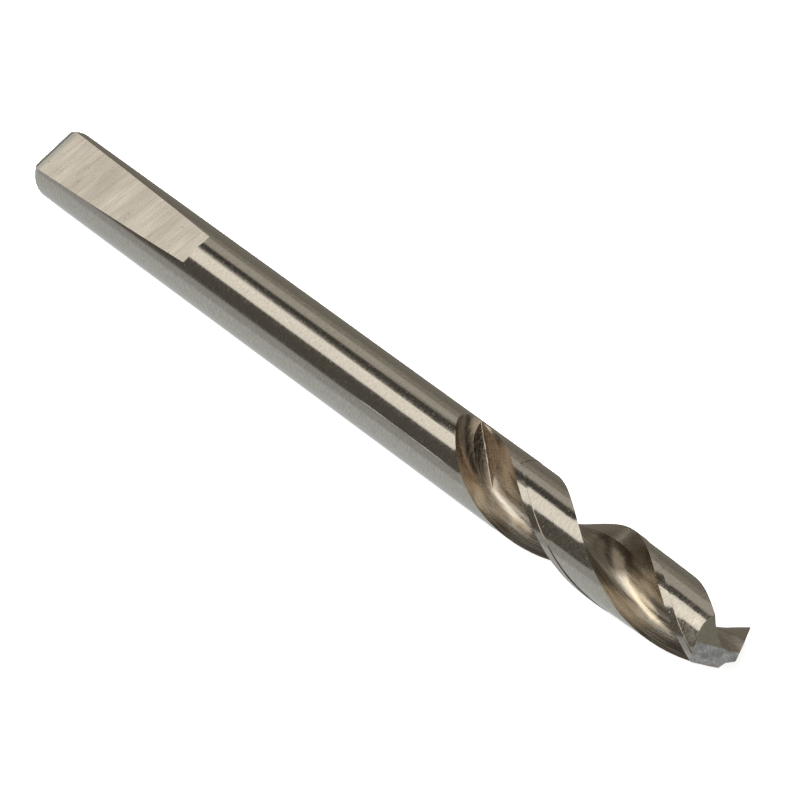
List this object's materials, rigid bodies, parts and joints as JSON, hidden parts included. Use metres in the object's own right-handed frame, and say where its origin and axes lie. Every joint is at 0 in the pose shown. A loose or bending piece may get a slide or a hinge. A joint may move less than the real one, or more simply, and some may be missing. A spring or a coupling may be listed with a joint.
{
  "type": "hole saw pilot drill",
  "caption": "Short twist drill that centres a hole saw: round shank with a tapered set-screw flat, helical flutes, relieved lands and a faceted ground point.",
  "frame": {"origin": "centre of the shank's end face, on the drill's axis", "axes": "+X along the axis from the shank's end to the tip, +Z out of the shank's flat, as the picture shows the drill"},
  "size_m": [0.0825, 0.0064, 0.0064],
  "materials": {
    "ground_steel": "bright ground high speed steel, with straw-coloured flutes"
  },
  "bodies": {
    "root": {"pilot_drill": "ground_steel"}
  },
  "joints": []
}
